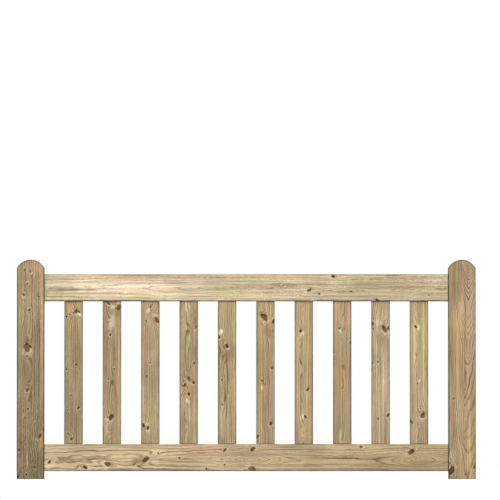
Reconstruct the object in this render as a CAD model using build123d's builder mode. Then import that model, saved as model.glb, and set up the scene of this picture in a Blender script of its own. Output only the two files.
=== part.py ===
from build123d import *
import os
from math import sqrt

# Wooden garden gate leaf, in millimetres.
# X runs along the leaf from the hanging edge, Y through its thickness with the front at -Y, Z up from the feet.

# The leaf as a whole
overall_width = 1830.0
frame_thickness = 45.0
arris_radius = 5.0

# Stiles, the two uprights with domed tops
stile_height = 875.0
stile_width = 110.0
dome_radius = 62.5
dome_corner_radius = 7.0

# Rails, the two level members between the stiles
rail_depth = 108.0
dome_above_rail = 58.0
foot_below_rail = 32.0

# Through tenons on the rail ends, each held by two wedges driven from the stile's outer edge
tenon_thickness = 15.0
tenon_shoulder = 19.0
tenon_play = 0.2
wedge_length = 82.0
wedge_butt = 8.0
wedge_tip = 1.0
end_trim = 0.5

# Pales, the uprights between the rails
pale_count = 10
pale_width = 74.0
pale_thickness = 20.0
pale_arris_radius = 3.0

# Stub tenons on the pale ends
stub_thickness = 12.0
stub_length = 22.0
stub_shoulder = 8.0
stub_play = 0.2
stub_end_gap = 2.0

# Lengths and levels that follow from the sizes above
clear_width = overall_width - 2 * stile_width
gap_width = (clear_width - pale_count * pale_width) / (pale_count + 1)
dome_rise = dome_radius - sqrt(dome_radius**2 - (stile_width / 2) ** 2)
top_rail_top = stile_height - dome_above_rail
top_rail_foot = top_rail_top - rail_depth
bottom_rail_foot = foot_below_rail
bottom_rail_top = bottom_rail_foot + rail_depth
tenon_depth = rail_depth - 2 * tenon_shoulder
stub_width = pale_width - 2 * stub_shoulder
stub_mortise_depth = stub_length + stub_end_gap
rail_centres = {
    "top": top_rail_foot + rail_depth / 2,
    "bottom": bottom_rail_foot + rail_depth / 2,
}
pale_pitch = pale_width + gap_width
pale_centres = [stile_width + gap_width + pale_width / 2 + i * pale_pitch for i in range(pale_count)]

middle = Plane.YZ.offset(overall_width / 2)

os.makedirs("parts", exist_ok=True)


def save(part, name):
    part.label = name
    export_step(part, f"parts/{name}.step")


def wedge_height(distance):
    """Height of a wedge at a distance in from the stile's outer edge."""
    return wedge_butt + (wedge_tip - wedge_butt) * distance / wedge_length


def mortise_outline(level):
    """Side outline of the through mortise: level near the shoulder, then flared for the wedges."""
    half = tenon_depth / 2
    butt = half + wedge_height(0)
    tip = half + wedge_height(wedge_length)
    upper = [
        (0, level + butt),
        (wedge_length, level + tip),
        (wedge_length, level + half),
        (stile_width, level + half),
    ]
    lower = [(x, 2 * level - z) for x, z in reversed(upper)]
    return upper + lower


# Left stile: a domed board with every long arris rounded, and two flared mortises through its width
with BuildPart() as left_stile:
    with BuildSketch(Plane.XZ) as stile_outline:
        with BuildLine():
            shoulder_level = stile_height - dome_rise
            foot = Line((0, 0), (stile_width, 0))
            inner_edge = Line(foot @ 1, (stile_width, shoulder_level))
            dome = RadiusArc(inner_edge @ 1, (0, shoulder_level), -dome_radius)
            Line(dome @ 1, foot @ 0)
        make_face()
        dome_corners = stile_outline.vertices().group_by(Axis.Y)[1]
        fillet(dome_corners, dome_corner_radius)
    extrude(amount=frame_thickness / 2, both=True)
    faces_of_board = left_stile.faces().filter_by(Axis.Y)
    arrises = faces_of_board.edges().filter_by(lambda edge: edge.center().Z > 1)
    fillet(arrises, arris_radius)
    for level in rail_centres.values():
        with BuildSketch(Plane.XZ) as mortise:
            with BuildLine():
                Polyline(*mortise_outline(level), close=True)
            make_face()
        extrude(amount=tenon_thickness / 2 + tenon_play, both=True, mode=Mode.SUBTRACT)
save(left_stile.part, "left_stile")

# Right stile: the left one's mirror image
with BuildPart() as right_stile:
    mirror(left_stile.part, about=middle)
save(right_stile.part, "right_stile")

# Rails: a rounded section between the stiles, a tenon at each end and a row of stub mortises facing the pales
for rail_name, rail_level in rail_centres.items():
    inner_side = -1 if rail_name == "top" else 1
    with BuildPart() as rail:
        with BuildSketch(Plane.YZ.offset(stile_width)) as rail_section:
            with Locations((0, rail_level)):
                Rectangle(frame_thickness, rail_depth)
            fillet(rail_section.vertices(), arris_radius)
        extrude(amount=clear_width)
        with BuildSketch(Plane.YZ.offset(end_trim)):
            with Locations((0, rail_level)):
                Rectangle(tenon_thickness, tenon_depth)
        extrude(amount=overall_width - 2 * end_trim)
        with BuildSketch(Plane.XY.offset(rail_level + inner_side * rail_depth / 2)):
            with Locations([(x, 0) for x in pale_centres]):
                Rectangle(stub_width + 2 * stub_play, stub_thickness + 2 * stub_play)
        extrude(amount=-inner_side * stub_mortise_depth, mode=Mode.SUBTRACT)
    save(rail.part, f"{rail_name}_rail")

# Pales: ten boards with rounded arrises and a stub tenon at each end
for number, x in enumerate(pale_centres, start=1):
    with BuildPart() as pale:
        with BuildSketch(Plane.XY.offset(bottom_rail_top)) as pale_section:
            with Locations((x, 0)):
                Rectangle(pale_width, pale_thickness)
            fillet(pale_section.vertices(), pale_arris_radius)
        extrude(amount=top_rail_foot - bottom_rail_top)
        with BuildSketch(Plane.XY.offset(bottom_rail_top - stub_length)):
            with Locations((x, 0)):
                Rectangle(stub_width, stub_thickness)
        extrude(amount=top_rail_foot - bottom_rail_top + 2 * stub_length)
    save(pale.part, f"pale_{number:02d}")

# Wedges: tapered slips that spread each tenon against the flared ends of its mortise
for rail_name, rail_level in rail_centres.items():
    for side_name, side in (("upper", 1), ("lower", -1)):
        tenon_edge = rail_level + side * tenon_depth / 2
        with BuildPart() as left_wedge:
            with BuildSketch(Plane.XZ):
                with BuildLine():
                    Polyline(
                        (end_trim, tenon_edge),
                        (wedge_length, tenon_edge),
                        (wedge_length, tenon_edge + side * wedge_height(wedge_length)),
                        (end_trim, tenon_edge + side * wedge_height(end_trim)),
                        close=True,
                    )
                make_face()
            extrude(amount=tenon_thickness / 2, both=True)
        save(left_wedge.part, f"left_wedge_{rail_name}_{side_name}")
        with BuildPart() as right_wedge:
            mirror(left_wedge.part, about=middle)
        save(right_wedge.part, f"right_wedge_{rail_name}_{side_name}")
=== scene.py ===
# %% [markdown]
# # A garden gate leaf in treated pine
#
# The gate is one flat leaf: two uprights, called stiles, with domed tops, two rails framed between them,
# and ten boards, called pales, between the rails. It is made of planed softwood that was
# pressure-treated, so its beauty is all in the timber: growth rings, knots with the grain flowing round
# them, and a faint green from the treatment. The shapes come ready from the frame. This lesson gives
# every timber its own wood.

# %% Load the frame
import math
import random
from collections import namedtuple

import bmesh
import bpy
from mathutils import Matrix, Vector


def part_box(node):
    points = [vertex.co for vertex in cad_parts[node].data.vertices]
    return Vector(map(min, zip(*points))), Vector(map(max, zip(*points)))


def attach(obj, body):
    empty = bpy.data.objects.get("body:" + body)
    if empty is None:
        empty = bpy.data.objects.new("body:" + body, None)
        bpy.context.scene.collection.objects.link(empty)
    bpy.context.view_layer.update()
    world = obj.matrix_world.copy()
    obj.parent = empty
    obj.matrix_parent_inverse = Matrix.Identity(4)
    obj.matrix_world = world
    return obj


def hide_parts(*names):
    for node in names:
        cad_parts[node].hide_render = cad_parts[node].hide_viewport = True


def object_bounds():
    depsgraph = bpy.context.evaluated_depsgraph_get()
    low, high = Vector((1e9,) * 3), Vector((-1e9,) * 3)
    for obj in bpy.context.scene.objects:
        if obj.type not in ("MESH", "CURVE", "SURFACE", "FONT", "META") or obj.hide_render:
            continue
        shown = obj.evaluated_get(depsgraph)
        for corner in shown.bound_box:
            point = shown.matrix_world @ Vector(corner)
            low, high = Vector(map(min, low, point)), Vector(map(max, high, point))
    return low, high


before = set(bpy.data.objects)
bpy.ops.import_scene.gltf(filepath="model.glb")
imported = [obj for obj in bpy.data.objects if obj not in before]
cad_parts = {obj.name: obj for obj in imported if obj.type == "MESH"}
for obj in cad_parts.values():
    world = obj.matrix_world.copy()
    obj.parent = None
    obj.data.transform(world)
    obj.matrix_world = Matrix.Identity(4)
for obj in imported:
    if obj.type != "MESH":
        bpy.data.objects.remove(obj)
cad_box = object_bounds()
print("frame:", len(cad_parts), "nodes, box", [[round(c, 4) for c in corner] for corner in cad_box])

# %% [markdown]
# ## Sizes
#
# Everything is in metres and is read from the frame, so the lesson follows the gate if its sizes change.
# Patterns in the wood are easier to think of in millimetres, so the materials turn metres into
# millimetres first.

# %% Sizes of the leaf
MM = 0.001
low, high = Vector(cad_box[0]), Vector(cad_box[1])
leaf_width, leaf_thickness, leaf_height = high - low
leaf_middle = (low + high) / 2
print("leaf:", [round(size, 3) for size in (leaf_width, leaf_thickness, leaf_height)], "wide, thick, high")

# %% [markdown]
# ## Camera
#
# The gate was photographed square on from far away, so its sides don't show. A very long lens at a long
# distance does the same. The gate sits low in the picture: rather than shifting the lens, the camera
# tilts up a little, which from so far away doesn't bend the uprights.

# %% The camera
PICTURE_PIXELS = 500
PHOTO_LEFT, PHOTO_RIGHT = 16.7, 475.81
PHOTO_MIDDLE_HEIGHT = 369.4
LENS_MM = 400.0
SENSOR_MM = 36.0
CAMERA_HEIGHT = 0.12
FARTHEST_SEEN = 200.0

pixel = leaf_width / (PHOTO_RIGHT - PHOTO_LEFT)
picture_width = PICTURE_PIXELS * pixel
camera_distance = LENS_MM / SENSOR_MM * picture_width
photo_middle_across = (PHOTO_LEFT + PHOTO_RIGHT) / 2
aim = leaf_middle + Vector((
    (PICTURE_PIXELS / 2 - photo_middle_across) * pixel,
    -leaf_thickness / 2,
    (PHOTO_MIDDLE_HEIGHT - PICTURE_PIXELS / 2) * pixel,
))

camera_data = bpy.data.cameras.new("gate_camera")
camera_data.lens = LENS_MM
camera_data.sensor_width = SENSOR_MM
camera_data.clip_end = FARTHEST_SEEN
camera = bpy.data.objects.new("gate_camera", camera_data)
camera.location = (aim.x, aim.y - camera_distance, CAMERA_HEIGHT)
camera.rotation_euler = (aim - camera.location).to_track_quat("-Z", "Y").to_euler()
bpy.context.scene.collection.objects.link(camera)
bpy.context.scene.camera = camera
print("camera:", round(camera_distance, 2), "m away; one pixel is", round(pixel / MM, 3), "mm")

# %% [markdown]
# ## Words for wiring nodes
#
# A wood material is a long formula. These few helpers place a node and join its sockets, so that the
# formula can be read line by line. A group is built once and then placed in each material with its own
# values.

# %% Helpers for node trees
SEED_STRIDE = 613.0


class Wiring:
    """Places nodes in one tree and joins them up."""

    def __init__(self, tree):
        self.tree = tree

    def feed(self, socket, value):
        if isinstance(value, bpy.types.NodeSocket):
            self.tree.links.new(value, socket)
        else:
            socket.default_value = value

    def place(self, kind, feeds=(), **settings):
        node = self.tree.nodes.new(kind)
        for name, value in settings.items():
            setattr(node, name, value)
        for socket, value in dict(feeds).items():
            self.feed(node.inputs[socket], value)
        return node

    def math(self, operation, *values, clamp=False):
        node = self.place("ShaderNodeMath", enumerate(values), operation=operation, use_clamp=clamp)
        return node.outputs[0]

    def times(self, first, second):
        return self.math("MULTIPLY", first, second)

    def add_up(self, total, *shares):
        """Adds every value times its weight to a total."""
        for value, weight in shares:
            total = self.math("MULTIPLY_ADD", value, weight, total)
        return total

    def off_centre(self, cloud):
        """How far a noise is from its middle value."""
        return self.math("SUBTRACT", cloud, 0.5)

    def vector(self, operation, *values):
        node = self.place("ShaderNodeVectorMath", enumerate(values), operation=operation)
        return node.outputs["Value" if operation in ("LENGTH", "DOT_PRODUCT") else "Vector"]

    def split(self, vector):
        return self.place("ShaderNodeSeparateXYZ", {0: vector}).outputs[:]

    def join(self, x, y, z):
        return self.place("ShaderNodeCombineXYZ", {0: x, 1: y, 2: z}).outputs[0]

    def step(self, value, start, end, low=0.0, high=1.0):
        """Goes smoothly from low to high while value goes from start to end."""
        feeds = {"Value": value, "From Min": start, "From Max": end, "To Min": low, "To Max": high}
        return self.place("ShaderNodeMapRange", feeds, interpolation_type="SMOOTHSTEP").outputs[0]

    def mix_vectors(self, factor, first, second):
        return self.place("ShaderNodeMix", {0: factor, 4: first, 5: second}, data_type="VECTOR").outputs[1]

    def mix_colours(self, factor, first, second, blend="MIX"):
        feeds = {0: factor, 6: first, 7: second}
        return self.place("ShaderNodeMix", feeds, data_type="RGBA", blend_type=blend).outputs[2]

    def noise(self, place, stretch, detail=2.0, roughness=0.5, output=0):
        """Cloudy noise. stretch says how many lumps fit in one millimetre along each axis."""
        scaled = self.vector("MULTIPLY", place, stretch)
        feeds = {"Vector": scaled, "Scale": 1.0, "Detail": detail, "Roughness": roughness}
        return self.place("ShaderNodeTexNoise", feeds).outputs[output]

    def elsewhere(self, place, seed):
        """The same place in another part of the noise for each seed."""
        away = self.times(seed, SEED_STRIDE)
        return self.vector("ADD", place, self.join(away, away, away))

    def use(self, group, **feeds):
        """Places a node group. An input named Ring Width is fed as ring_width."""
        node = self.place("ShaderNodeGroup")
        node.node_tree = group
        for name, value in feeds.items():
            self.feed(node.inputs[name.replace("_", " ").title()], value)
        return node.outputs


def shader_group(name, inputs, outputs, wire):
    """A node group whose inside wire() lays out: it gets the inputs and gives back the outputs in order."""
    tree = bpy.data.node_groups.new(name, "ShaderNodeTree")
    for socket, kind in inputs.items():
        tree.interface.new_socket(socket, in_out="INPUT", socket_type="NodeSocket" + kind)
    for socket, kind in outputs.items():
        tree.interface.new_socket(socket, in_out="OUTPUT", socket_type="NodeSocket" + kind)
    w = Wiring(tree)
    given = w.place("NodeGroupInput").outputs
    made = wire(w, *[given[socket] for socket in inputs])
    result = w.place("NodeGroupOutput")
    for socket, value in zip(outputs, made):
        w.feed(result.inputs[socket], value)
    print("group:", name, "with", len(tree.nodes), "nodes")
    return tree


def srgb(red, green, blue):
    """A colour as a picture editor gives it, turned into the light values that Blender uses."""
    def linear(value):
        value /= 255
        return value / 12.92 if value <= 0.04045 else ((value + 0.055) / 1.055) ** 2.4
    return (linear(red), linear(green), linear(blue), 1.0)


# %% [markdown]
# ## Light and background
#
# The picture is a catalogue cut-out: flat soft light from the front and a pure white ground. Here the
# world is white only for what the camera sees directly or in a reflection, and gives a dimmer even light
# otherwise. One large lamp from the upper left in front and a weaker one from the right bring the total
# to a level at which a colour renders about as it is written. A lamp behind the gate keeps its back from
# looking dull.

# %% World, lamps and floor
WORLD_LIGHT = 0.50
WORLD_COLOUR = (1.0, 0.99, 0.97, 1.0)
PURE_WHITE = (1.0, 1.0, 1.0, 1.0)
FLOOR_SIZE = 14.0
FLOOR_COLOUR = (0.78, 0.78, 0.77, 1.0)
FLOOR_GLOW = 0.52
LAMP_SIZE = 3.0
LAMPS = (
    ("key_lamp", (-2.6, -5.0, 3.4), 0.42),
    ("fill_lamp", (3.2, -5.5, 1.2), 0.16),
    ("back_lamp", (2.0, 5.0, 3.6), 0.36),
)


def seen_directly(w):
    """1 for what the camera sees directly, in a gloss or through glass, and 0 for all other light."""
    path = w.place("ShaderNodeLightPath").outputs
    seen = w.math("MAXIMUM", path["Is Camera Ray"], path["Is Glossy Ray"])
    return w.math("MAXIMUM", seen, path["Is Transmission Ray"])


def build_world():
    world = bpy.data.worlds.new("studio")
    world.use_nodes = True
    world.node_tree.nodes.clear()
    w = Wiring(world.node_tree)
    light = w.place("ShaderNodeBackground", {"Color": WORLD_COLOUR, "Strength": WORLD_LIGHT})
    ground = w.place("ShaderNodeBackground", {"Color": PURE_WHITE, "Strength": 1.0})
    feeds = {0: seen_directly(w), 1: light.outputs[0], 2: ground.outputs[0]}
    shader = w.place("ShaderNodeMixShader", feeds)
    w.place("ShaderNodeOutputWorld", {"Surface": shader.outputs[0]})
    bpy.context.scene.world = world


def add_lamp(name, place, level):
    """A soft lamp aimed at the gate, placed from its middle. level is what it gives a surface facing it."""
    data = bpy.data.lights.new(name, "AREA")
    data.shape = "SQUARE"
    data.size = LAMP_SIZE
    lamp = bpy.data.objects.new(name, data)
    lamp.location = leaf_middle + Vector(place)
    reach = leaf_middle - lamp.location
    lamp.rotation_euler = reach.to_track_quat("-Z", "Y").to_euler()
    data.energy = level * math.pi**2 * reach.length_squared
    bpy.context.scene.collection.objects.link(lamp)


def build_floor():
    mesh = bpy.data.meshes.new("floor")
    half = FLOOR_SIZE / 2
    corners = [(x * half + leaf_middle.x, y * half, low.z) for x, y in ((-1, -1), (1, -1), (1, 1), (-1, 1))]
    mesh.from_pydata(corners, [], [(0, 1, 2, 3)])
    floor = bpy.data.objects.new("floor", mesh)
    material = bpy.data.materials.new("pale_floor")
    material.use_nodes = True
    material.node_tree.nodes.clear()
    w = Wiring(material.node_tree)
    matt = w.place("ShaderNodeBsdfDiffuse", {"Color": FLOOR_COLOUR})
    glow = w.place("ShaderNodeEmission", {"Color": PURE_WHITE, "Strength": FLOOR_GLOW})
    nothing = w.place("ShaderNodeEmission", {"Strength": 0.0})
    lift = w.place("ShaderNodeMixShader", {0: seen_directly(w), 1: nothing.outputs[0], 2: glow.outputs[0]})
    shader = w.place("ShaderNodeAddShader", {0: matt.outputs[0], 1: lift.outputs[0]})
    w.place("ShaderNodeOutputMaterial", {"Surface": shader.outputs[0]})
    mesh.materials.append(material)
    bpy.context.scene.collection.objects.link(floor)


build_world()
for lamp in LAMPS:
    add_lamp(*lamp)
build_floor()
bpy.context.scene.view_settings.view_transform = "Standard"
print("studio: world light", WORLD_LIGHT, "and", len(LAMPS), "lamps")

# %% [markdown]
# ## Growth rings
#
# A board is a slice of a trunk, so its grain is what a saw lays bare of the rings. The pattern is made in
# the round: each point's distance from the pith, the trunk's centre line, divided by the width of one
# year's ring. Faces, edges and end grain then agree by themselves. Where the pith lies decides the grain
# of a face: far to one side it runs straight, and under the middle of the face it draws flames and
# arches. The pith leans and wanders a little. Within a year the wood darkens slowly, then breaks off
# sharply: that is latewood. Good and bad summers make some years strong and others faint.
#
# Places are in millimetres from the board's middle: x across its width, y through its thickness, z along
# the grain.

# %% The growth rings group
DRIFT_GRAIN = (0.014, 0.014, 0.0026)
DRIFT_YEARS = 2.2
RIPPLE_GRAIN = (0.09, 0.09, 0.030)
RIPPLE_YEARS = 0.7
FAINTEST_YEAR = 0.30


def wire_growth_rings(w, place, pith, slope, ring_width, wander, lift, seed):
    drift = w.noise(w.elsewhere(place, seed), DRIFT_GRAIN, detail=3.0, output=1)
    drift_across, drift_deep, drift_years = w.split(drift)
    across, deep, along = w.split(w.vector("SUBTRACT", place, pith))
    across = w.math("MULTIPLY_ADD", w.off_centre(drift_across), wander, across)
    deep = w.math("MULTIPLY_ADD", w.off_centre(drift_deep), wander, deep)
    deep = w.math("MULTIPLY_ADD", along, slope, deep)
    across_squared = w.times(across, across)
    deep_squared = w.times(deep, deep)
    from_pith = w.math("SQRT", w.math("ADD", across_squared, deep_squared))
    ripple = w.noise(w.elsewhere(place, seed), RIPPLE_GRAIN, detail=1.0)
    years = w.math("DIVIDE", from_pith, ring_width)
    years = w.add_up(years, (drift_years, DRIFT_YEARS), (ripple, RIPPLE_YEARS))
    years = w.math("ADD", years, lift)
    year = w.math("FLOOR", years)
    part_of_year = w.math("FRACT", years)
    slow_rise = w.step(part_of_year, 0.52, 0.90)
    sharp_fall = w.step(part_of_year, 1.0, 0.94)
    luck = w.place("ShaderNodeTexWhiteNoise", {"W": w.math("ADD", year, seed)}, noise_dimensions="1D")
    strength = w.math("MULTIPLY_ADD", luck.outputs[0], 1 - FAINTEST_YEAR, FAINTEST_YEAR)
    return [w.times(w.times(slow_rise, sharp_fall), strength)]


growth_rings = shader_group(
    "growth_rings",
    {"Place": "Vector", "Pith": "Vector", "Slope": "Float", "Ring Width": "Float", "Wander": "Float",
     "Lift": "Float", "Seed": "Float"},
    {"Latewood": "Float"},
    wire_growth_rings,
)

# %% [markdown]
# ## Knots
#
# A knot is a branch that the trunk grew round. Three things show: the branch cut across, with rings of
# its own, a dark line of bark round a dead one, and the grain that parts and closes again like water
# round a stone. The flow of water round a post has a simple formula, so the group uses it: it says how
# far to push the grain aside. The rings also rise a little towards a knot. The saw cuts most branches at
# a slant, which makes leaning ovals. On one side of a knot the wood is often pale, on the other brown
# with resin. Knots are chained, one group after another, and each passes on the nearest knot so far, the
# total push and the total lift.
#
# The nearest knot is kept as three numbers: distance from its centre in units of its radius, how far the
# point lies towards the pale side in the same units, and how dark the knot is.

# %% The knot group
KNOT_FLOW_STRETCH = 2.2
KNOT_LIFT = 0.30


def wire_knot(w, place, wobble, nearest, push, lift, centre, lean, slant, radius, stretch, pale_side, tone):
    offset = w.vector("SUBTRACT", place, centre)
    across, deep, along = w.split(offset)
    lean_across, _, lean_along = w.split(lean)
    across = w.math("MULTIPLY_ADD", deep, lean_across, across)
    along = w.math("MULTIPLY_ADD", deep, lean_along, along)
    across = w.math("SUBTRACT", across, w.times(along, slant))
    squeezed = w.math("DIVIDE", along, stretch)
    across_squared = w.times(across, across)
    distance = w.math("SQRT", w.math("MULTIPLY_ADD", squeezed, squeezed, across_squared))
    in_radii = w.times(w.math("DIVIDE", distance, radius), wobble)
    to_pale_side = w.times(w.math("DIVIDE", along, radius), pale_side)
    is_nearer = w.math("LESS_THAN", in_radii, w.split(nearest)[0])
    nearest = w.mix_vectors(is_nearer, nearest, w.join(in_radii, to_pale_side, tone))
    flow_along = w.math("DIVIDE", squeezed, KNOT_FLOW_STRETCH)
    flow_squared = w.math("MULTIPLY_ADD", flow_along, flow_along, across_squared)
    radius_squared = w.times(radius, radius)
    fall = w.math("DIVIDE", radius_squared, w.math("MAXIMUM", flow_squared, radius_squared))
    push = w.math("SUBTRACT", push, w.times(across, fall))
    lift = w.math("MULTIPLY_ADD", w.times(fall, radius), KNOT_LIFT, lift)
    return nearest, push, lift


knot = shader_group(
    "knot",
    {"Place": "Vector", "Wobble": "Float", "Nearest": "Vector", "Push": "Float", "Lift": "Float",
     "Centre": "Vector", "Lean": "Vector", "Slant": "Float", "Radius": "Float", "Stretch": "Float",
     "Pale Side": "Float", "Tone": "Float"},
    {"Nearest": "Vector", "Push": "Float", "Lift": "Float"},
    wire_knot,
)

# %% [markdown]
# ## Swells
#
# A trunk isn't a smooth cone. Where it swells or dips, the saw lays bare closed ovals and nested arches,
# the most striking figure in pine. A swell is a smooth hill or hollow in the count of years, and its
# contour lines are the arches. An exponent between 1 and 2 makes them pointed, as flames are.

# %% The swell group
SWELL_POINT = 1.35


def wire_swell(w, place, lift, centre, size, years):
    reach = w.vector("ABSOLUTE", w.vector("DIVIDE", w.vector("SUBTRACT", place, centre), size))
    across, deep, along = [w.math("POWER", part, SWELL_POINT) for part in w.split(reach)]
    hill = w.math("EXPONENT", w.times(w.math("ADD", w.math("ADD", across, deep), along), -1.0))
    return [w.math("MULTIPLY_ADD", hill, years, lift)]


swell = shader_group(
    "swell",
    {"Place": "Vector", "Lift": "Float", "Centre": "Vector", "Size": "Vector", "Years": "Float"},
    {"Lift": "Float"},
    wire_swell,
)

# %% [markdown]
# ## Streaks
#
# Pine isn't one colour. Heartwood is pink or orange, sapwood is cream, and the treatment leaves olive and
# green where it soaked in. These run along the grain as soft-ended streaks. One small group lays one
# streak over a colour, and a board chains as many as it has. The place that it reads has been bent by
# noise, so the edges are ragged.

# %% The streak group
def wire_streak(w, place, colour, centre, size, tint, strength):
    reach = w.vector("LENGTH", w.vector("DIVIDE", w.vector("SUBTRACT", place, centre), size))
    return [w.mix_colours(w.times(w.step(reach, 1.3, 0.55), strength), colour, tint)]


streak = shader_group(
    "streak",
    {"Place": "Vector", "Colour": "Color", "Centre": "Vector", "Size": "Vector", "Tint": "Color",
     "Strength": "Float"},
    {"Colour": "Color"},
    wire_streak,
)

# %% [markdown]
# ## Colour and relief
#
# Over the streaks come the rings, the fine fibres, thin bands of warmer and greener wood, flecks where
# the plane tore the surface a little, resin pores, and the knots. Cracks, called drying checks, are cut
# in the mesh further on, and the mesh says where they are; the material paints them dark, a painted
# shade inside the crack. End grain drinks in more of the treatment and is darker. Rounded arrises and
# the lines where two timbers meet are darkened with a grey brown, partly dirt and partly painted shade.
# Each noise has a grain: how many lumps fit in a millimetre across, deep and along.

# %% The timber group
BROWN = srgb(144, 114, 82)
LATEWOOD_BROWN = srgb(90, 62, 36)
TREATMENT_GREEN = srgb(160, 160, 114)
CREAM = srgb(238, 222, 194)
KNOT_AMBER = srgb(158, 114, 62)
KNOT_DARK = srgb(80, 58, 32)
BARK = srgb(40, 29, 16)
PORE_BROWN = srgb(120, 84, 52)
CHECK_SHADE = srgb(74, 56, 38)
END_GRAIN_BROWN = srgb(168, 146, 104)
DIRT_AND_SHADE = srgb(78, 72, 54)
WARM_CAST = (1.10, 0.97, 0.90, 1.0)
OLIVE_CAST = (0.92, 0.99, 0.84, 1.0)
PATCH_GRAIN = (0.012, 0.012, 0.006)
FIBRE_GRAIN = (0.8, 0.8, 0.018)
BAND_GRAIN = (0.13, 0.13, 0.0022)
FLECK_GRAIN = (0.30, 0.30, 0.075)
PORE_GRAIN = (1.3, 1.3, 0.09)
KNOT_GRAIN = (0.11, 0.11, 0.06)
GRIME_AND_SHADE_GRAIN = (0.06, 0.06, 0.03)
PLAIN_SHADE = 1.03


def wire_timber(w, place, grained, nearest, lift, latewood, tint, end_grain, arris, joint, check, green_share,
                fleck_share, ring_contrast, seed):
    shifted = w.elsewhere(grained, seed)
    patches = w.noise(shifted, PATCH_GRAIN, detail=2.0, output=1)
    green_patch, plain_patch, soft_patch = w.split(patches)
    fibres = w.noise(shifted, FIBRE_GRAIN, detail=3.0, roughness=0.6)
    bands = w.noise(shifted, BAND_GRAIN, detail=3.0, roughness=0.6, output=1)
    dark_band, cast_band, fine_band = w.split(bands)

    green = w.times(w.step(green_patch, 0.46, 0.70), green_share)
    colour = w.mix_colours(green, tint, TREATMENT_GREEN)
    colour = w.mix_colours(w.step(cast_band, 0.50, 0.66), colour, WARM_CAST, "MULTIPLY")
    colour = w.mix_colours(w.step(cast_band, 0.50, 0.34), colour, OLIVE_CAST, "MULTIPLY")
    on_figure = w.step(w.math("ABSOLUTE", lift), 0.2, 1.4)
    figured = w.math("MAXIMUM", w.step(plain_patch, 0.30, 0.55, 0.60), on_figure)
    lines = w.times(w.times(latewood, ring_contrast), figured)
    colour = w.mix_colours(lines, colour, LATEWOOD_BROWN, "MULTIPLY")
    clouds = (fibres, 0.55), (dark_band, 1.15), (fine_band, 1.05), (soft_patch, 0.75)
    shade = w.add_up(PLAIN_SHADE, *[(w.off_centre(cloud), weight) for cloud, weight in clouds])
    colour = w.mix_colours(1.0, colour, w.join(shade, shade, shade), "MULTIPLY")

    fleck_field = w.noise(shifted, FLECK_GRAIN, detail=1.0, output=1)
    light_fleck, dark_fleck, _ = w.split(fleck_field)
    in_radii, to_pale_side, tone = w.split(nearest)
    fleck_share = w.times(fleck_share, w.step(soft_patch, 0.40, 0.60, 0.15, 1.0))
    fleck_share = w.math("MAXIMUM", fleck_share, w.step(in_radii, 3.4, 1.3, 0.0, 0.6))
    light_fleck = w.times(w.step(light_fleck, 0.53, 0.64), fleck_share)
    dark_fleck = w.times(w.step(dark_fleck, 0.58, 0.68), fleck_share)
    colour = w.mix_colours(w.times(light_fleck, 0.75), colour, CREAM)
    colour = w.mix_colours(w.times(dark_fleck, 0.5), colour, BROWN)
    pores = w.step(w.noise(shifted, PORE_GRAIN, detail=0.0), 0.70, 0.78)
    colour = w.mix_colours(w.times(pores, 0.45), colour, PORE_BROWN)

    near_knot = w.noise(w.elsewhere(place, seed), KNOT_GRAIN, detail=3.0, output=1)
    light_side, dark_side, _ = w.split(near_knot)
    pale = w.times(w.step(in_radii, 2.5, 1.2), w.step(to_pale_side, 0.1, 1.0))
    pale = w.times(pale, w.step(light_side, 0.42, 0.60, 0.15))
    colour = w.mix_colours(w.times(pale, 0.50), colour, CREAM)
    resin = w.times(w.step(in_radii, 2.8, 1.0), w.step(to_pale_side, 0.3, -1.2))
    resin = w.times(resin, w.step(dark_side, 0.36, 0.60, 0.3))
    colour = w.mix_colours(w.times(resin, 0.55), colour, BROWN)
    branch = w.mix_colours(tone, KNOT_AMBER, KNOT_DARK)
    branch_rings = w.math("FRACT", w.times(in_radii, 3.3))
    branch = w.mix_colours(w.times(branch_rings, 0.45), branch, KNOT_DARK)
    amber = w.times(w.step(light_side, 0.48, 0.62), w.step(tone, 0.2, 1.1, 0.5, 0.0))
    branch = w.mix_colours(amber, branch, KNOT_AMBER)
    branch = w.mix_colours(w.times(w.step(dark_side, 0.52, 0.64), 0.5), branch, BARK)
    crescent = w.times(w.step(to_pale_side, 0.35, -0.70), w.step(in_radii, 0.30, 0.75))
    branch = w.mix_colours(w.times(crescent, 0.8), branch, BARK)
    branch = w.mix_colours(w.step(in_radii, 0.30, 0.12, 0.0, 0.7), branch, BARK)
    is_branch = w.step(in_radii, 1.12, 0.86)
    colour = w.mix_colours(is_branch, colour, branch)
    bark_line = w.times(w.step(in_radii, 1.20, 1.02), w.step(in_radii, 0.78, 0.98))
    bark_line = w.times(bark_line, w.step(tone, 0.0, 1.0, 0.1, 0.85))
    colour = w.mix_colours(bark_line, colour, BARK)

    colour = w.mix_colours(w.times(end_grain, 0.55), colour, END_GRAIN_BROWN, "MULTIPLY")
    # Arrises and the ends of the bare length are darkened with DIRT_AND_SHADE: partly dirt, partly painted
    # shade of the rounded arrises and of the corners where timbers meet.
    grime_and_shade_noise = w.noise(w.elsewhere(place, seed), GRIME_AND_SHADE_GRAIN, detail=3.0)
    grime_and_shade = w.math("MAXIMUM", w.times(arris, w.step(grime_and_shade_noise, 0.30, 0.62, 0.65, 0.95)), joint)
    colour = w.mix_colours(grime_and_shade, colour, DIRT_AND_SHADE)
    # The drying checks are painted dark: painted shade inside the crack.
    colour = w.mix_colours(check, colour, CHECK_SHADE)

    raised = w.step(in_radii, 1.3, 0.7)
    height = w.add_up(
        w.times(fibres, 0.16), (latewood, 0.10), (raised, 0.22), (bark_line, -0.35),
        (pores, -0.08), (dark_fleck, -0.15), (end_grain, w.times(fibres, 0.5)),
    )
    roughness = w.add_up(0.60, (fibres, 0.18), (is_branch, -0.16), (grime_and_shade, 0.15))
    roughness = w.math("MULTIPLY_ADD", end_grain, 0.12, roughness, clamp=True)
    return colour, roughness, height


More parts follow.
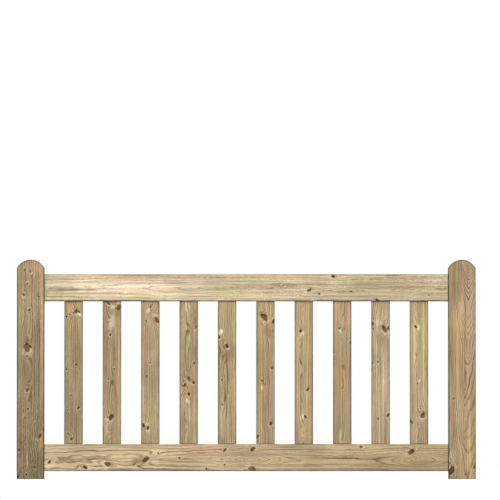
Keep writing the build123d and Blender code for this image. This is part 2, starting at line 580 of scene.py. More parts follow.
timber = shader_group(
    "timber",
    {"Place": "Vector", "Grained": "Vector", "Nearest": "Vector", "Lift": "Float", "Latewood": "Float",
     "Tint": "Color", "End Grain": "Float", "Arris": "Float", "Joint": "Float", "Check": "Float",
     "Green Share": "Float", "Fleck Share": "Float", "Ring Contrast": "Float", "Seed": "Float"},
    {"Colour": "Color", "Roughness": "Float", "Height": "Float"},
    wire_timber,
)

# %% [markdown]
# ## Where each timber lies
#
# The frame says where every timber is. From that come its middle, its half sizes, the direction of its
# grain, and the levels at which its bare length ends: a rail's at the stiles, a pale's at the rails and a
# stile's at its foot.

# %% Survey the timbers
class Timber(namedtuple("Timber", "node lies_flat middle half ends")):
    """A timber's place. Its middle is in metres, and its half sizes and ends are in millimetres."""

    @property
    def axes(self):
        """The axis across the timber and the one along it."""
        return (2, 0) if self.lies_flat else (0, 2)

    def front(self, across, along):
        """A described place on the front, as it lies from the timber's middle."""
        return across, -self.half.y, along - self.middle[self.axes[1]] / MM


def survey(node):
    corner_low, corner_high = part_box(node)
    middle = (corner_low + corner_high) / 2
    if node.endswith("rail"):
        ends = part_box("left_stile")[1].x - middle.x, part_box("right_stile")[0].x - middle.x
    elif node.endswith("stile"):
        ends = corner_low.z - middle.z, leaf_width
    else:
        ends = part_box("bottom_rail")[1].z - middle.z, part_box("top_rail")[0].z - middle.z
    half = (corner_high - corner_low) / 2 / MM
    return Timber(node, node.endswith("rail"), middle, half, [end / MM for end in ends])


# %% [markdown]
# ## One material for each timber
#
# No two boards are alike, so each gets its own material, made by one function from the groups above and a
# short description: how the board was sawn, its colours, and where its knots and streaks are.

# %% The material of a timber
LOOK_FIELDS = "tints pith slope wander ring_width contrast green flecks knots swells streaks checks far_dirt"
Look = namedtuple("Look", LOOK_FIELDS, defaults=[(), 1.0])
KNOT_FAR_AWAY = (9.0, 0.0, 0.0)
STREAK_DEPTH = 60.0
SWELL_DEPTH = 80.0
STREAK_RAGGEDNESS = (16.0, 0.0, 70.0)
JOINT_BAND = 4.0
EDGE_BAND = 11.0
FAR_SIDE_BLEND = 5.0
KNOT_LUMP_GRAIN = (0.12, 0.12, 0.10)
KNOT_SLANT = 0.45
KNOT_LEAN = (0.15, 0.25)
STREAK_GRAIN = (0.035, 0.035, 0.010)
GLOSS = 0.2


def knot_chain(w, board, look, seed, place):
    """All of a board's knots in turn: the nearest one, and how far they push and lift the grain."""
    lumps = w.noise(w.elsewhere(place, float(seed)), KNOT_LUMP_GRAIN, detail=3.0)
    wobble = w.math("ADD", w.off_centre(lumps), 1.0)
    nearest, push, lift = KNOT_FAR_AWAY, 0.0, 0.0
    for number, (across, along, radius, tone) in enumerate(look.knots):
        sway = math.sin(seed * 3.1 + number * 2.4)
        slant = KNOT_SLANT * math.cos(seed * 1.57 + number * 2.1)
        nearest, push, lift = w.use(
            knot, place=place, wobble=wobble, nearest=nearest, push=push, lift=lift,
            centre=board.front(across, along), lean=(KNOT_LEAN[0] * sway, 0.0, KNOT_LEAN[1]),
            slant=slant, radius=radius, stretch=1.15 + 0.3 * abs(sway),
            pale_side=-1.0 if sway < 0.5 else 1.0, tone=tone,
        )[:]
    return nearest, push, lift


def swell_chain(w, board, look, place, lift):
    """Adds all of a board's swells to the lift."""
    for across, along, half_width, half_length, years in look.swells:
        lift = w.use(
            swell, place=place, lift=lift, centre=board.front(across, along),
            size=(half_width, SWELL_DEPTH, half_length), years=years,
        )[0]
    return lift


def streak_chain(w, board, look, seed, place, colour):
    """Lays all of a board's streaks over a colour."""
    shifted = w.elsewhere(place, float(seed))
    bend = w.noise(shifted, STREAK_GRAIN, detail=4.0, roughness=0.6, output=1)
    bent = w.vector("MULTIPLY_ADD", w.vector("SUBTRACT", bend, (0.5, 0.5, 0.5)), STREAK_RAGGEDNESS, place)
    for across, along, half_width, half_length, tint, strength in look.streaks:
        colour = w.use(
            streak, place=bent, colour=colour, centre=board.front(across, along),
            size=(half_width, STREAK_DEPTH, half_length), tint=tint, strength=strength,
        )[0]
    return colour


def timber_material(board, look, seed):
    """The wood of one timber."""
    material = bpy.data.materials.new(board.node + "_wood")
    material.use_nodes = True
    material.node_tree.nodes.clear()
    w = Wiring(material.node_tree)

    at = w.place("ShaderNodeTexCoord").outputs["Object"]
    feeds = {"Vector": at, "Location": board.middle, "Scale": (MM, MM, MM)}
    place = w.place("ShaderNodeMapping", feeds, vector_type="TEXTURE").outputs[0]
    facing = w.split(w.place("ShaderNodeTexCoord").outputs["Normal"])
    if board.lies_flat:
        along, deep, across = w.split(place)
        place = w.join(across, deep, along)
    else:
        across, deep, along = w.split(place)
    across_axis, along_axis = board.axes
    facing_along = w.math("ABSOLUTE", facing[along_axis])
    facing_front = w.math("ABSOLUTE", facing[1])

    nearest, push, lift = knot_chain(w, board, look, seed, place)
    lift = swell_chain(w, board, look, place, lift)
    grained = w.vector("ADD", place, w.join(push, 0.0, 0.0))
    latewood = w.use(
        growth_rings, place=grained, pith=look.pith, slope=look.slope, ring_width=look.ring_width,
        wander=look.wander, lift=lift, seed=float(seed),
    )[0]
    half_length = board.half[along_axis]
    tint = w.mix_colours(w.step(along, -half_length, half_length), *look.tints)
    tint = streak_chain(w, board, look, seed, place, tint)

    # The arris mask and the band on the sides beside it say where dirt and painted shade darken the rounded
    # arrises; the look's last number sets how much the upper or right arris takes.
    arris = w.times(w.step(facing_front, 0.995, 0.86), w.step(facing_front, 0.0, 0.35))
    to_edge = w.math("SUBTRACT", board.half[across_axis], w.math("ABSOLUTE", across))
    edge = w.times(w.step(to_edge, EDGE_BAND, 0.5), w.step(facing_front, 0.3, 0.8, 0.0, 0.35))
    arris_dirt_and_shade_share = w.step(across, -FAR_SIDE_BLEND, FAR_SIDE_BLEND, 1.0, look.far_dirt)
    arris = w.times(w.math("MAXIMUM", arris, edge), arris_dirt_and_shade_share)
    # The joint mask darkens the wood near the ends of its bare length: dirt in the joint and painted shade in
    # the corner where two timbers meet, and the same band at a stile's foot.
    to_ends = [w.math("ABSOLUTE", w.math("SUBTRACT", along, end)) for end in board.ends]
    joint = w.step(w.math("MINIMUM", *to_ends), JOINT_BAND, 0.5, 0.0, 0.6)
    check = w.place("ShaderNodeAttribute", attribute_name="check").outputs["Fac"]
    out = w.use(
        timber, place=place, grained=grained, nearest=nearest, lift=lift, latewood=latewood,
        tint=tint, end_grain=w.step(facing_along, 0.45, 0.9), arris=arris, joint=joint, check=check,
        green_share=look.green, fleck_share=look.flecks, ring_contrast=look.contrast, seed=float(seed),
    )
    bump = w.place("ShaderNodeBump", {"Height": out["Height"], "Strength": 1.0, "Distance": MM})
    feeds = {"Base Color": out["Colour"], "Roughness": out["Roughness"], "Normal": bump.outputs[0]}
    shader = w.place("ShaderNodeBsdfPrincipled", feeds)
    shader.inputs["Specular IOR Level"].default_value = GLOSS
    w.place("ShaderNodeOutputMaterial", {"Surface": shader.outputs[0]})
    return material


# %% [markdown]
# ## The fourteen timbers
#
# Every board is described as it lies. Across is measured from its centre line, to the right on an upright
# and up on a rail. Along is the height above the ground on an upright, and the distance from the hanging
# edge on a rail. All are in millimetres.
#
# A look begins with the tints of the lower or left end and of the other one. Then come the pith's place
# from the board's middle, its lean, its wander, the width of a ring, how strong the rings are, and the
# shares of green and of flecks. Four lists follow:
#
# - A knot is across, along, radius and darkness, from 0 for a live amber one to 1 for a dead black one.
# - A swell is across, along, half its width, half its length and its height in years. A height below zero
#   turns the arches the other way.
# - A streak is across, along, half its width, half its length, colour and strength.
# - A check, a crack from drying, is across, where it starts and where it ends.
#
# A last number, where there is one, says how much of the arris darkening, dirt and painted shade,
# the upper or right arris holds beside the other arris.

# %% The colours of pine
WHITE = srgb(248, 240, 220)
STRAW = srgb(224, 207, 176)
TAN = srgb(189, 163, 127)
PALE_TAN = srgb(217, 196, 162)
SOFT_TAN = srgb(186, 164, 130)
OLIVE_TAN = srgb(181, 161, 124)
GREY_TAN = srgb(170, 148, 115)
DULL_TAN = srgb(136, 119, 88)
SILVER_TAN = srgb(188, 169, 138)
FAWN = srgb(181, 158, 124)
TAWNY = srgb(178, 155, 122)
WHEAT = srgb(201, 183, 150)
ORANGE = srgb(208, 166, 116)
PINK = srgb(212, 174, 142)
ROSE = srgb(180, 122, 88)
OLIVE = srgb(160, 152, 108)
YELLOW = srgb(196, 182, 122)
GREEN = srgb(176, 188, 144)
# GREY is laid only near the long edges of the stiles and pales, darkening them: partly weathered wood, partly
# painted shade of the rounded arrises.
GREY = srgb(160, 148, 126)
DARK = srgb(104, 78, 52)

# %% The look of each timber
looks = {
    "left_stile": Look(
        (DULL_TAN, GREY_TAN), (-150, 60, 0), 0.012, 10.0, 6.5, 1.0, 0.15, 0.25,
        [(-25, 834, 3, 0.7), (-1, 827, 3.5, 0.2), (-13, 781, 3.5, 0.3), (-27, 734, 4.5, 0.5),
         (32, 728, 2.5, 0.9), (-4, 676, 4, 1.0), (-15, 526, 12, 0.35), (0, 529, 4, 0.9), (-12, 355, 6, 0.2),
         (-10, 280, 4, 0.5), (-23, 245, 3, 0.4), (36, 168, 7, 0.1), (-44, 114, 4, 1.0), (16, 47, 5, 0.35),
         (-50, 9, 5, 0.9), (-15, 19, 3, 0.9)],
        [(-12, 340, 10, 60, 3), (-6, 770, 12, 80, 2)],
        [(0, 840, 40, 30, PINK, 0.35), (-37, 700, 12, 150, YELLOW, 0.3), (35, 790, 15, 45, ROSE, 0.35),
         (30, 575, 15, 60, BROWN, 0.6), (-43, 500, 9, 200, OLIVE, 0.6), (47, 420, 6, 400, PINK, 0.35),
         (-35, 314, 8, 20, BROWN, 0.5), (44, 137, 8, 20, ORANGE, 0.6), (-37, 74, 10, 35, GREY, 0.5),
         (-18, 60, 4, 40, ROSE, 0.4), (-13, 78, 3, 35, CREAM, 0.5), (-13, 322, 5, 30, OLIVE, 0.5)],
        [], 0.7,
    ),
    "right_stile": Look(
        (TAN, FAWN), (27, 62, 0), 0.040, 6.0, 3.7, 1.0, 0.05, 0.1,
        [(-33, 321, 3, 0.6), (-42, 35, 11, 0.8), (50, 50, 5, 0.7)],
        [(27, 900, 58, 170, -14), (24, 660, 14, 50, -3), (24, 500, 11, 30, -2), (10, 370, 14, 90, -3),
         (6, 200, 14, 40, -2)],
        [(-10, 800, 35, 70, BROWN, 0.30), (-48, 845, 8, 20, ROSE, 0.4), (-50, 440, 6, 400, GREY, 0.6),
         (-5, 687, 12, 22, PINK, 0.6), (-20, 560, 18, 130, ORANGE, 0.55), (48, 560, 8, 200, GREY, 0.5),
         (-26, 252, 8, 50, PINK, 0.6), (-49, 178, 6, 50, GREEN, 0.7), (-33, 200, 3, 45, ROSE, 0.5),
         (-15, 130, 22, 60, PINK, 0.4), (35, 120, 10, 60, YELLOW, 0.6), (-37, 90, 18, 30, STRAW, 0.5),
         (33, 49, 8, 16, ORANGE, 0.8)],
    ),
    "top_rail": Look(
        (STRAW, WHEAT), (-6, 60, 0), 0.004, 4.0, 4.4, 0.75, 0.25, 0.9,
        [(46, 1261, 6, 0.8), (-10, 1166, 6, 0.5), (-24, 1207, 3, 0.9), (-15, 1332, 3, 0.9),
         (-30, 1642, 2.5, 0.9), (-51, 1439, 6, 0.9)],
        [(0, 870, 17, 165, -8), (-12, 1190, 12, 50, -3), (-13, 1335, 14, 70, -6), (-10, 1670, 22, 210, -9)],
        [(7, 360, 26, 260, CREAM, 0.85), (0, 113, 60, 12, GREEN, 0.9), (40, 400, 9, 260, PINK, 0.7),
         (-37, 200, 11, 90, YELLOW, 0.6), (-30, 320, 9, 60, PINK, 0.4), (-40, 480, 8, 70, YELLOW, 0.5),
         (25, 937, 6, 80, GREEN, 0.9), (7, 935, 6, 65, ROSE, 0.35), (10, 1065, 12, 50, BROWN, 0.55),
         (-35, 820, 10, 80, YELLOW, 0.6), (40, 900, 8, 300, ORANGE, 0.4), (23, 1320, 9, 50, GREEN, 0.8),
         (-14, 1296, 7, 25, ROSE, 0.5), (0, 1570, 4, 70, ROSE, 0.6), (-5, 1691, 5, 28, BROWN, 0.7),
         (-35, 1684, 12, 35, PINK, 0.5), (20, 1500, 30, 160, OLIVE, 0.25), (48, 1495, 3, 25, DARK, 0.6)],
        [(-9, 150, 330)], 0.6,
    ),
    "bottom_rail": Look(
        (PALE_TAN, SOFT_TAN), (-10, 62, 0), 0.004, 4.0, 4.6, 0.95, 0.15, 0.3,
        [(-18, 130, 5, 0.7), (-39, 274, 6, 0.9), (-25, 362, 8, 0.5), (-7, 516, 9.5, 0.55),
         (18, 564, 2.5, 0.9), (-2, 648, 3, 0.9), (30, 830, 4.5, 0.5), (-44, 756, 3, 0.95), (-29, 828, 3, 0.9),
         (33, 942, 8, 0.5), (-44, 938, 10, 0.3), (42, 1373, 4, 0.5), (23, 1570, 9, 0.6)],
        [(-6, 690, 8, 130, -1.5), (-8, 935, 24, 90, -8), (-10, 1600, 24, 80, -7)],
        [(-29, 210, 8, 50, PINK, 0.6), (-7, 340, 5, 110, BROWN, 0.5), (-14, 477, 12, 20, BROWN, 0.6),
         (-20, 552, 12, 20, CREAM, 0.5), (30, 760, 12, 50, PINK, 0.8), (46, 680, 6, 30, ORANGE, 0.6),
         (-40, 856, 8, 40, PINK, 0.5), (-25, 1159, 4, 20, OLIVE, 0.7), (-5, 1450, 45, 260, OLIVE_TAN, 0.7),
         (41, 1631, 8, 25, ORANGE, 0.6)],
        [(-4, 1210, 1450)], 0.15,
    ),
    "pale_01": Look(
        (GREY_TAN, GREY_TAN), (150, 45, 0), 0.010, 8.0, 6.5, 1.0, 0.15, 0.15,
        [(-28, 648, 3, 0.9), (-15, 656, 2.5, 0.8), (1, 663, 2.5, 1.0), (11, 668, 5, 0.6), (22, 667, 4, 0.8),
         (10, 459, 3.5, 0.9), (-28, 437, 2.5, 0.9), (-9, 335, 2.5, 0.9), (20, 284, 4.5, 0.9),
         (-24, 274, 2.5, 0.9), (-19, 181, 3, 0.8), (-9, 160, 4, 0.9)],
        [(4, 660, 18, 22, 2.5)],
        [(-13, 688, 14, 28, ORANGE, 0.6), (26, 654, 10, 6, CREAM, 0.9), (9, 513, 18, 140, BROWN, 0.5),
         (-27, 418, 10, 260, OLIVE, 0.5), (31, 430, 5, 300, OLIVE, 0.5), (10, 310, 10, 50, PINK, 0.35)],
    ),
    "pale_02": Look(
        (GREY_TAN, GREY_TAN), (120, 40, 0), 0.012, 8.0, 6.0, 1.0, 0.12, 0.15,
        [(-13, 700, 5, 0.6), (27, 686, 8, 0.35), (-7, 574, 3.5, 0.9), (10, 440, 3, 0.7), (-14, 399, 3, 1.0),
         (-3, 247, 8, 0.75)],
        [(-3, 610, 16, 50, 5), (8, 385, 11, 45, 3), (-4, 200, 16, 55, 4.5)],
        [(-19, 686, 8, 18, ROSE, 0.7), (24, 664, 9, 30, ROSE, 0.6), (24, 625, 8, 22, ORANGE, 0.5),
         (3, 686, 7, 9, CREAM, 0.9), (1, 627, 9, 26, STRAW, 0.8), (27, 360, 8, 230, YELLOW, 0.65),
         (9, 510, 3, 55, DARK, 0.45), (4, 400, 3, 35, DARK, 0.4), (-25, 450, 2.5, 40, DARK, 0.4),
         (-1, 178, 3, 38, DARK, 0.5), (-20, 215, 8, 40, STRAW, 0.3)],
        [(6, 430, 560)],
    ),
    "pale_03": Look(
        (FAWN, FAWN), (-150, 50, 0), 0.010, 7.0, 6.5, 1.0, 0.06, 0.2,
        [(1, 687, 3.5, 0.8), (-17, 631, 2.5, 1.0), (27, 636, 8, 0.2), (1, 463, 2.5, 0.7), (-14, 411, 3, 0.9),
         (-27, 216, 5.5, 0.95), (-10, 204, 5, 0.95)],
        [(16, 636, 16, 22, 3)],
        [(-10, 676, 9, 10, CREAM, 0.8), (21, 638, 16, 11, ROSE, 0.8), (0, 560, 30, 60, BROWN, 0.25),
         (20, 400, 12, 200, PINK, 0.3), (-17, 216, 4, 6, CREAM, 0.6), (30, 300, 6, 160, GREY, 0.4)],
    ),
    "pale_04": Look(
        (SOFT_TAN, TAWNY), (110, 55, 0), 0.012, 10.0, 6.0, 1.0, 0.18, 0.3,
        [(30, 607, 5, 0.4), (22, 465, 3, 0.7), (1, 399, 6, 0.4), (-15, 376, 5, 0.8), (20, 385, 5, 0.8),
         (1, 339, 5, 0.8)],
        [(4, 600, 14, 90, 3), (-2, 365, 22, 45, 5), (-6, 210, 12, 60, 2.5)],
        [(-11, 684, 4, 25, CREAM, 0.6), (2, 672, 4, 22, CREAM, 0.5), (28, 655, 8, 55, ROSE, 0.6),
         (0, 607, 5, 12, BROWN, 0.6), (25, 564, 9, 42, PINK, 0.8), (2, 525, 12, 65, GREEN, 0.75),
         (6, 515, 2.5, 40, OLIVE, 0.7), (16, 434, 5, 22, PINK, 0.5), (-1, 352, 18, 30, ORANGE, 0.8),
         (-3, 304, 11, 8, CREAM, 0.8), (3, 261, 5, 32, CREAM, 0.5), (-20, 230, 12, 60, BROWN, 0.35)],
    ),
    "pale_05": Look(
        (SOFT_TAN, SOFT_TAN), (130, 60, 0), 0.012, 8.0, 6.5, 1.0, 0.18, 0.2,
        [(-32, 566, 5, 1.0), (-1, 531, 6, 0.95), (-17, 491, 2.5, 0.8), (-21, 395, 3.5, 0.6),
         (-18, 296, 2.5, 0.8)],
        [(-4, 510, 18, 45, 3), (-2, 330, 10, 120, 2)],
        [(27, 600, 9, 100, YELLOW, 0.8), (-24, 588, 10, 11, WHITE, 1.0), (0, 508, 30, 42, BROWN, 0.6),
         (-1, 467, 2.5, 22, DARK, 0.6), (4, 410, 3, 38, DARK, 0.6), (3, 352, 2.5, 25, DARK, 0.5),
         (-3, 320, 4, 10, DARK, 0.4), (-1, 280, 2.5, 36, DARK, 0.6), (-7, 541, 7, 5, CREAM, 0.8),
         (-20, 240, 10, 90, CREAM, 0.5), (12, 230, 5, 80, OLIVE, 0.5), (32, 330, 5, 180, YELLOW, 0.5)],
        [(2, 340, 460)],
    ),
    "pale_06": Look(
        (TAN, TAN), (-130, 50, 0), 0.012, 8.0, 6.0, 1.0, 0.09, 0.2,
        [(-4, 646, 11, 0.55), (33, 631, 6, 0.7), (27, 443, 4, 0.6), (-12, 391, 4, 0.6), (21, 221, 6, 0.7),
         (-32, 168, 5, 0.7)],
        [(4, 600, 18, 36, 3)],
        [(-28, 420, 7, 290, OLIVE, 0.6), (-9, 430, 8, 200, ORANGE, 0.5), (9, 596, 17, 26, BROWN, 0.6),
         (-13, 371, 5, 10, CREAM, 0.8), (18, 300, 12, 120, PINK, 0.3), (31, 500, 5, 120, OLIVE, 0.4)],
    ),
    "pale_07": Look(
        (FAWN, FAWN), (140, 48, 0), 0.010, 8.0, 6.5, 0.95, 0.09, 0.2,
        [(-13, 591, 5, 0.8), (15, 357, 4, 0.95), (6, 249, 4.5, 0.9)],
        [(-8, 575, 12, 35, 3), (-8, 440, 9, 35, 2), (0, 185, 14, 50, 4)],
        [(-25, 640, 8, 70, OLIVE, 0.6), (30, 430, 5, 300, OLIVE, 0.5), (3, 655, 12, 50, ORANGE, 0.5),
         (-5, 576, 9, 8, CREAM, 0.8), (3, 500, 18, 80, OLIVE_TAN, 0.6), (-9, 434, 6, 20, CREAM, 0.5),
         (17, 336, 12, 12, PINK, 0.6), (-6, 240, 9, 10, CREAM, 0.7), (-3, 182, 9, 32, PINK, 0.7)],
    ),
    "pale_08": Look(
        (FAWN, FAWN), (-120, 50, 0), 0.012, 7.0, 5.5, 1.0, 0.06, 0.15,
        [(-11, 601, 4, 0.5), (33, 545, 4, 0.8), (-34, 505, 3, 0.6), (-1, 361, 2.5, 0.6)],
        [(-3, 520, 13, 150, 5), (-6, 110, 15, 90, 4)],
        [(25, 655, 10, 60, PINK, 0.6), (-7, 591, 6, 4, WHITE, 1.0), (-5, 485, 7, 14, YELLOW, 0.4),
         (-5, 395, 15, 90, ORANGE, 0.7), (31, 350, 7, 200, GREY, 0.6), (0, 185, 30, 42, OLIVE, 0.5),
         (-10, 172, 5, 25, CREAM, 0.6)],
    ),
    "pale_09": Look(
        (SILVER_TAN, SILVER_TAN), (-150, 52, 0), 0.010, 8.0, 6.5, 0.9, 0.12, 0.25,
        [(-33, 621, 6, 0.6), (16, 597, 9, 0.3), (32, 604, 5, 0.7), (-11, 467, 3, 0.9), (-33, 461, 3, 0.8),
         (29, 256, 4.5, 0.95), (-11, 241, 3, 0.9)],
        [(6, 612, 20, 32, 3)],
        [(-19, 668, 13, 36, PINK, 0.7), (-10, 627, 12, 15, CREAM, 0.5), (21, 578, 9, 5, YELLOW, 0.8),
         (0, 560, 28, 30, BROWN, 0.35), (-12, 350, 7, 120, ORANGE, 0.35), (12, 330, 5, 140, STRAW, 0.5),
         (-32, 330, 5, 200, GREY, 0.5)],
    ),
    "pale_10": Look(
        (SILVER_TAN, FAWN), (120, 58, 0), 0.012, 8.0, 6.5, 1.0, 0.15, 0.2,
        [(-13, 607, 4.5, 0.85), (-7, 383, 2.5, 0.8), (14, 253, 8, 0.35), (-32, 229, 6, 0.6)],
        [(-8, 560, 11, 110, 3), (8, 240, 18, 36, 3)],
        [(0, 608, 6, 13, CREAM, 0.9), (17, 550, 9, 190, YELLOW, 0.6), (24, 500, 3, 100, OLIVE, 0.7),
         (-11, 430, 5, 32, ROSE, 0.35), (1, 391, 5, 7, CREAM, 0.8), (15, 234, 9, 8, PINK, 0.9),
         (31, 180, 6, 40, GREY, 0.5), (-15, 500, 8, 160, PINK, 0.3)],
    ),
}
for part in ("knots", "swells", "streaks", "checks"):
    print(part + ":", sum(len(getattr(look, part)) for look in looks.values()), "on", len(looks), "timbers")

# %% [markdown]
# ## Cutting the timbers up
#
# The frame's timbers have the right shape but only as many corners as flat faces need. To wear them, they
# need a finer net. A copy of each one's mesh is merged, its flat triangles are joined, and planes cut it
# into cells a few millimetres long. Cutting in halves, and those in halves again, keeps every cut short.
#
# A drying check opens where three close cuts run along the grain: the middle line of points will sink in.
# How deep each point sinks is kept in the mesh as an attribute called check, which both the wear and the
# material read. A second one, called bare, is 1 on the bare length and 0 where the timber goes on into a
# joint, and only the wear reads it.

# %% Cut a timber into cells
CELL_ALONG = 6.0
CELL_ACROSS = 8.0
SAME_POINT = 1e-6
SAME_PLANE = math.radians(0.5)
SHARP_ANGLE = math.radians(38)
CHECK_HALF_WIDTH = 0.6
CHECK_DRIFT = 0.006
CHECK_TAPER = 0.5
SHOULDER_MARGIN = 1.0
AXES = (Vector((1, 0, 0)), Vector((0, 1, 0)), Vector((0, 0, 1)))


def around(faces):
    """The faces with their edges and corners, in a fixed order."""
    edges = [edge for face in faces for edge in face.edges]
    corners = [corner for face in faces for corner in face.verts]
    return list(dict.fromkeys([*corners, *edges, *faces]))


def cut_cells(bm, faces, axis, places):
    """Cuts faces at every place along an axis, the middle place first."""
    if not places or not faces:
        return
    half_way = len(places) // 2
    place = places[half_way]
    result = bmesh.ops.bisect_plane(
        bm, geom=around(faces), dist=SAME_POINT, plane_co=AXES[axis] * place, plane_no=AXES[axis]
    )
    faces = [item for item in result["geom"] if isinstance(item, bmesh.types.BMFace)]
    centres = [face.calc_center_median()[axis] for face in faces]
    cut_cells(bm, [face for face, at in zip(faces, centres) if at < place], axis, places[:half_way])
    cut_cells(bm, [face for face, at in zip(faces, centres) if at >= place], axis, places[half_way + 1:])


def cut_check(bm, board, across, start, end):
    """Makes the three cuts of one drying check. Gives a point of the middle one and its normal."""
    across_axis, along_axis = board.axes
    normal = AXES[across_axis] + AXES[along_axis] * CHECK_DRIFT
    centre = board.middle.copy()
    centre[across_axis] += across * MM
    centre[along_axis] = (start + end) / 2 * MM
    for offset in (-CHECK_HALF_WIDTH, 0.0, CHECK_HALF_WIDTH):
        bmesh.ops.bisect_plane(
            bm, geom=around(bm.faces[:]), dist=SAME_POINT, plane_co=centre + AXES[across_axis] * offset * MM,
            plane_no=normal,
        )
    return centre, normal


def in_joint(along, ends, half_length):
    """Whether a point lies on a shoulder or past it, where the timber goes on into a joint."""
    margin = SHOULDER_MARGIN
    before = ends[0] > margin - half_length and along < ends[0] + margin
    after = ends[1] < half_length - margin and along > ends[1] - margin
    return before or after


def cut_up(board, checks):
    """A finely cut copy of a timber. checks are across, start, end and whether they are on the front."""
    bm = bmesh.new()
    bm.from_mesh(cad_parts[board.node].data)
    bmesh.ops.remove_doubles(bm, verts=bm.verts, dist=SAME_POINT)
    bmesh.ops.dissolve_limit(bm, angle_limit=SAME_PLANE, verts=bm.verts, edges=bm.edges)
    depth_layer = bm.verts.layers.float.new("check")
    bare_layer = bm.verts.layers.float.new("bare")
    lines = [(cut_check(bm, board, *check[:3]), check) for check in checks]

    across_axis, along_axis = board.axes
    for axis, cell in ((across_axis, CELL_ACROSS), (1, CELL_ACROSS), (along_axis, CELL_ALONG)):
        count = round(2 * board.half[axis] / cell)
        start = board.middle[axis] - board.half[axis] * MM
        places = [start + 2 * board.half[axis] * MM * step / count for step in range(1, count)]
        cut_cells(bm, bm.faces[:], axis, places)

    for corner in bm.verts:
        along = (corner.co[along_axis] - board.middle[along_axis]) / MM
        corner[bare_layer] = float(not in_joint(along, board.ends, board.half[along_axis]))
    for (centre, normal), (across, start, end, faces_front) in lines:
        surface = board.middle.y + (-1 if faces_front else 1) * board.half.y * MM
        for corner in bm.verts:
            on_line = abs((corner.co - centre).dot(normal)) < 2 * SAME_POINT
            share = (corner.co[along_axis] / MM - start) / (end - start)
            if on_line and 0 < share < 1 and abs(corner.co.y - surface) < MM / 2:
                corner[depth_layer] = math.sin(math.pi * share) ** CHECK_TAPER
    mesh = bpy.data.meshes.new(board.node + "_timber")
    bm.to_mesh(mesh)
    bm.free()
    mesh.shade_smooth()
    mesh.set_sharp_from_angle(angle=SHARP_ANGLE)
    piece = bpy.data.objects.new(board.node + "_timber", mesh)
    bpy.context.scene.collection.objects.link(piece)
    return piece


# %% [markdown]
# ## Wearing them with Geometry Nodes
#
# Planed timber that has been handled isn't perfectly flat, its arrises are knocked and its checks have
# opened. Each is a rule about how far a point moves in along its normal, so one Geometry Nodes tree does
# all of it, and a seed gives every timber its own wear. Tenons and shoulders are left out, because a
# joint keeps them as they were cut. Points only move inwards, so nothing outgrows the frame.

# %% The wear tree
WAVE_GRAIN = (0.018, 0.018, 0.018)
KNOCK_GRAIN = (0.035, 0.035, 0.035)


def build_wear_tree():
    tree = bpy.data.node_groups.new("timber_wear", "GeometryNodeTree")
    sockets = {
        "Geometry": "Geometry", "Seed": "Float", "Surface Wave": "Float", "Arris Wear": "Float",
        "Check Depth": "Float", "Material": "Material",
    }
    for name, kind in sockets.items():
        tree.interface.new_socket(name, in_out="INPUT", socket_type="NodeSocket" + kind)
    tree.interface.new_socket("Geometry", in_out="OUTPUT", socket_type="NodeSocketGeometry")
    w = Wiring(tree)
    given = w.place("NodeGroupInput").outputs
    normal = w.place("GeometryNodeInputNormal").outputs[0]
    place = w.vector("DIVIDE", w.place("GeometryNodeInputPosition").outputs[0], (MM, MM, MM))
    shifted = w.elsewhere(place, given["Seed"])
    wave = w.times(w.noise(shifted, WAVE_GRAIN, detail=2.0), given["Surface Wave"])

    x, y, z = [w.math("ABSOLUTE", part) for part in w.split(normal)]
    straightest = w.math("MAXIMUM", w.math("MAXIMUM", x, y), z)
    on_arris = w.step(straightest, 0.99, 0.80)
    knocks = w.step(w.noise(shifted, KNOCK_GRAIN, detail=3.0), 0.42, 0.72)
    knocks = w.times(w.times(knocks, on_arris), given["Arris Wear"])

    check, bare = [
        w.place("GeometryNodeInputNamedAttribute", {"Name": name}, data_type="FLOAT").outputs["Attribute"]
        for name in ("check", "bare")
    ]
    worn_away = w.times(w.math("ADD", wave, knocks), bare)
    inwards = w.times(w.math("MULTIPLY_ADD", check, given["Check Depth"], worn_away), -MM)
    offset = w.vector("MULTIPLY", normal, w.join(inwards, inwards, inwards))
    moved = w.place("GeometryNodeSetPosition", {"Geometry": given["Geometry"], "Offset": offset}).outputs[0]
    real = w.place("GeometryNodeRealizeInstances", {"Geometry": moved}).outputs[0]
    feeds = {"Geometry": real, "Material": given["Material"]}
    coated = w.place("GeometryNodeSetMaterial", feeds).outputs[0]
    w.place("NodeGroupOutput", {"Geometry": coated})
    return tree


wear_tree = build_wear_tree()
sockets = wear_tree.interface.items_tree
wear_socket = {socket.name: socket.identifier for socket in sockets if socket.in_out == "INPUT"}
print("wear tree:", len(wear_tree.nodes), "nodes")

# %% Wear a timber
SURFACE_WAVE = 0.45
ARRIS_WEAR = 1.6
CHECK_DEPTH = 2.2


def wear(piece, material, seed):
    """Runs the wear tree on a piece and keeps the result as its plain mesh."""
    modifier = piece.modifiers.new("wear", "NODES")
    modifier.node_group = wear_tree
    settings = {
        "Seed": float(seed), "Surface Wave": SURFACE_WAVE, "Arris Wear": ARRIS_WEAR,
        "Check Depth": CHECK_DEPTH, "Material": material,
    }
    for name, value in settings.items():
        modifier[wear_socket[name]] = value
    evaluated = piece.evaluated_get(bpy.context.evaluated_depsgraph_get())
    worn = bpy.data.meshes.new_from_object(evaluated)
    piece.modifiers.clear()
    worn.name = piece.data.name
    piece.data = worn


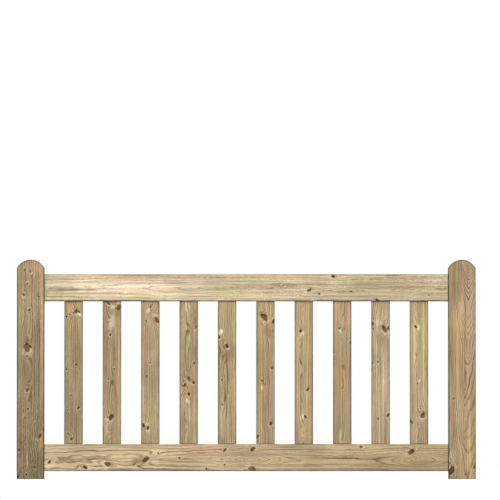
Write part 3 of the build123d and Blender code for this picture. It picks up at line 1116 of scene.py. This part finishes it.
# %% [markdown]
# ## Making the fourteen timbers
#
# Each timber is surveyed, cut up, worn and given its wood, and then takes its CAD node's place. The front
# checks are the described ones, and chance, from a fixed seed, adds some to the back.

# %% The timbers
BACK_CHECKS = 2
BACK_CHECK_LENGTHS = (90.0, 240.0)
BACK_CHECK_REACH = 0.7


def back_checks(board, seed):
    """Checks for the back of a timber, from its own fixed chance."""
    chance = random.Random(seed)
    across_axis, along_axis = board.axes
    middle_along = board.middle[along_axis] / MM
    first, last = [middle_along + end for end in board.ends]
    last = min(last, middle_along + board.half[along_axis])
    reach = BACK_CHECK_REACH
    checks = []
    for _ in range(BACK_CHECKS):
        length = chance.uniform(*BACK_CHECK_LENGTHS)
        start = chance.uniform(first, last - length)
        across = chance.uniform(-reach, reach) * board.half[across_axis]
        checks.append((across, start, start + length, False))
    return checks


def slot_of(node):
    return node.split("_")[0 if node.startswith("pale") else 1] + "_timber"


triangles = 0
for seed, (node, look) in enumerate(looks.items(), start=1):
    board = survey(node)
    piece = cut_up(board, [(*check, True) for check in look.checks] + back_checks(board, seed))
    wear(piece, timber_material(board, look, seed), seed)
    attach(piece, "root")
    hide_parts(node)
    slot_of(node)
    triangles += sum(len(face.vertices) - 2 for face in piece.data.polygons)
print("timbers:", len(looks), "with", triangles, "triangles")

# %% [markdown]
# ## Wedges
#
# Two wedges lock each tenon from the stile's outer edge. They are slips of sawn hardwood, and only their
# butts show: small blocks of end grain, paler than the stile round them. They keep their CAD solids.

# %% The wedges
WEDGE_LOOK = Look((STRAW, STRAW), (30, 40, 0), 0.0, 6.0, 2.4, 0.8, 0.1, 0.0, [], [], [])

wedges = [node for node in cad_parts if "wedge" in node]
for seed, node in enumerate(wedges, start=len(looks) + 1):
    corner_low, corner_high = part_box(node)
    half = (corner_high - corner_low) / 2 / MM
    board = Timber(node, True, (corner_low + corner_high) / 2, half, [-leaf_width / MM, leaf_width / MM])
    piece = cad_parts[node]
    piece.data.materials.clear()
    piece.data.materials.append(timber_material(board, WEDGE_LOOK, seed))
print("wedges:", len(wedges))
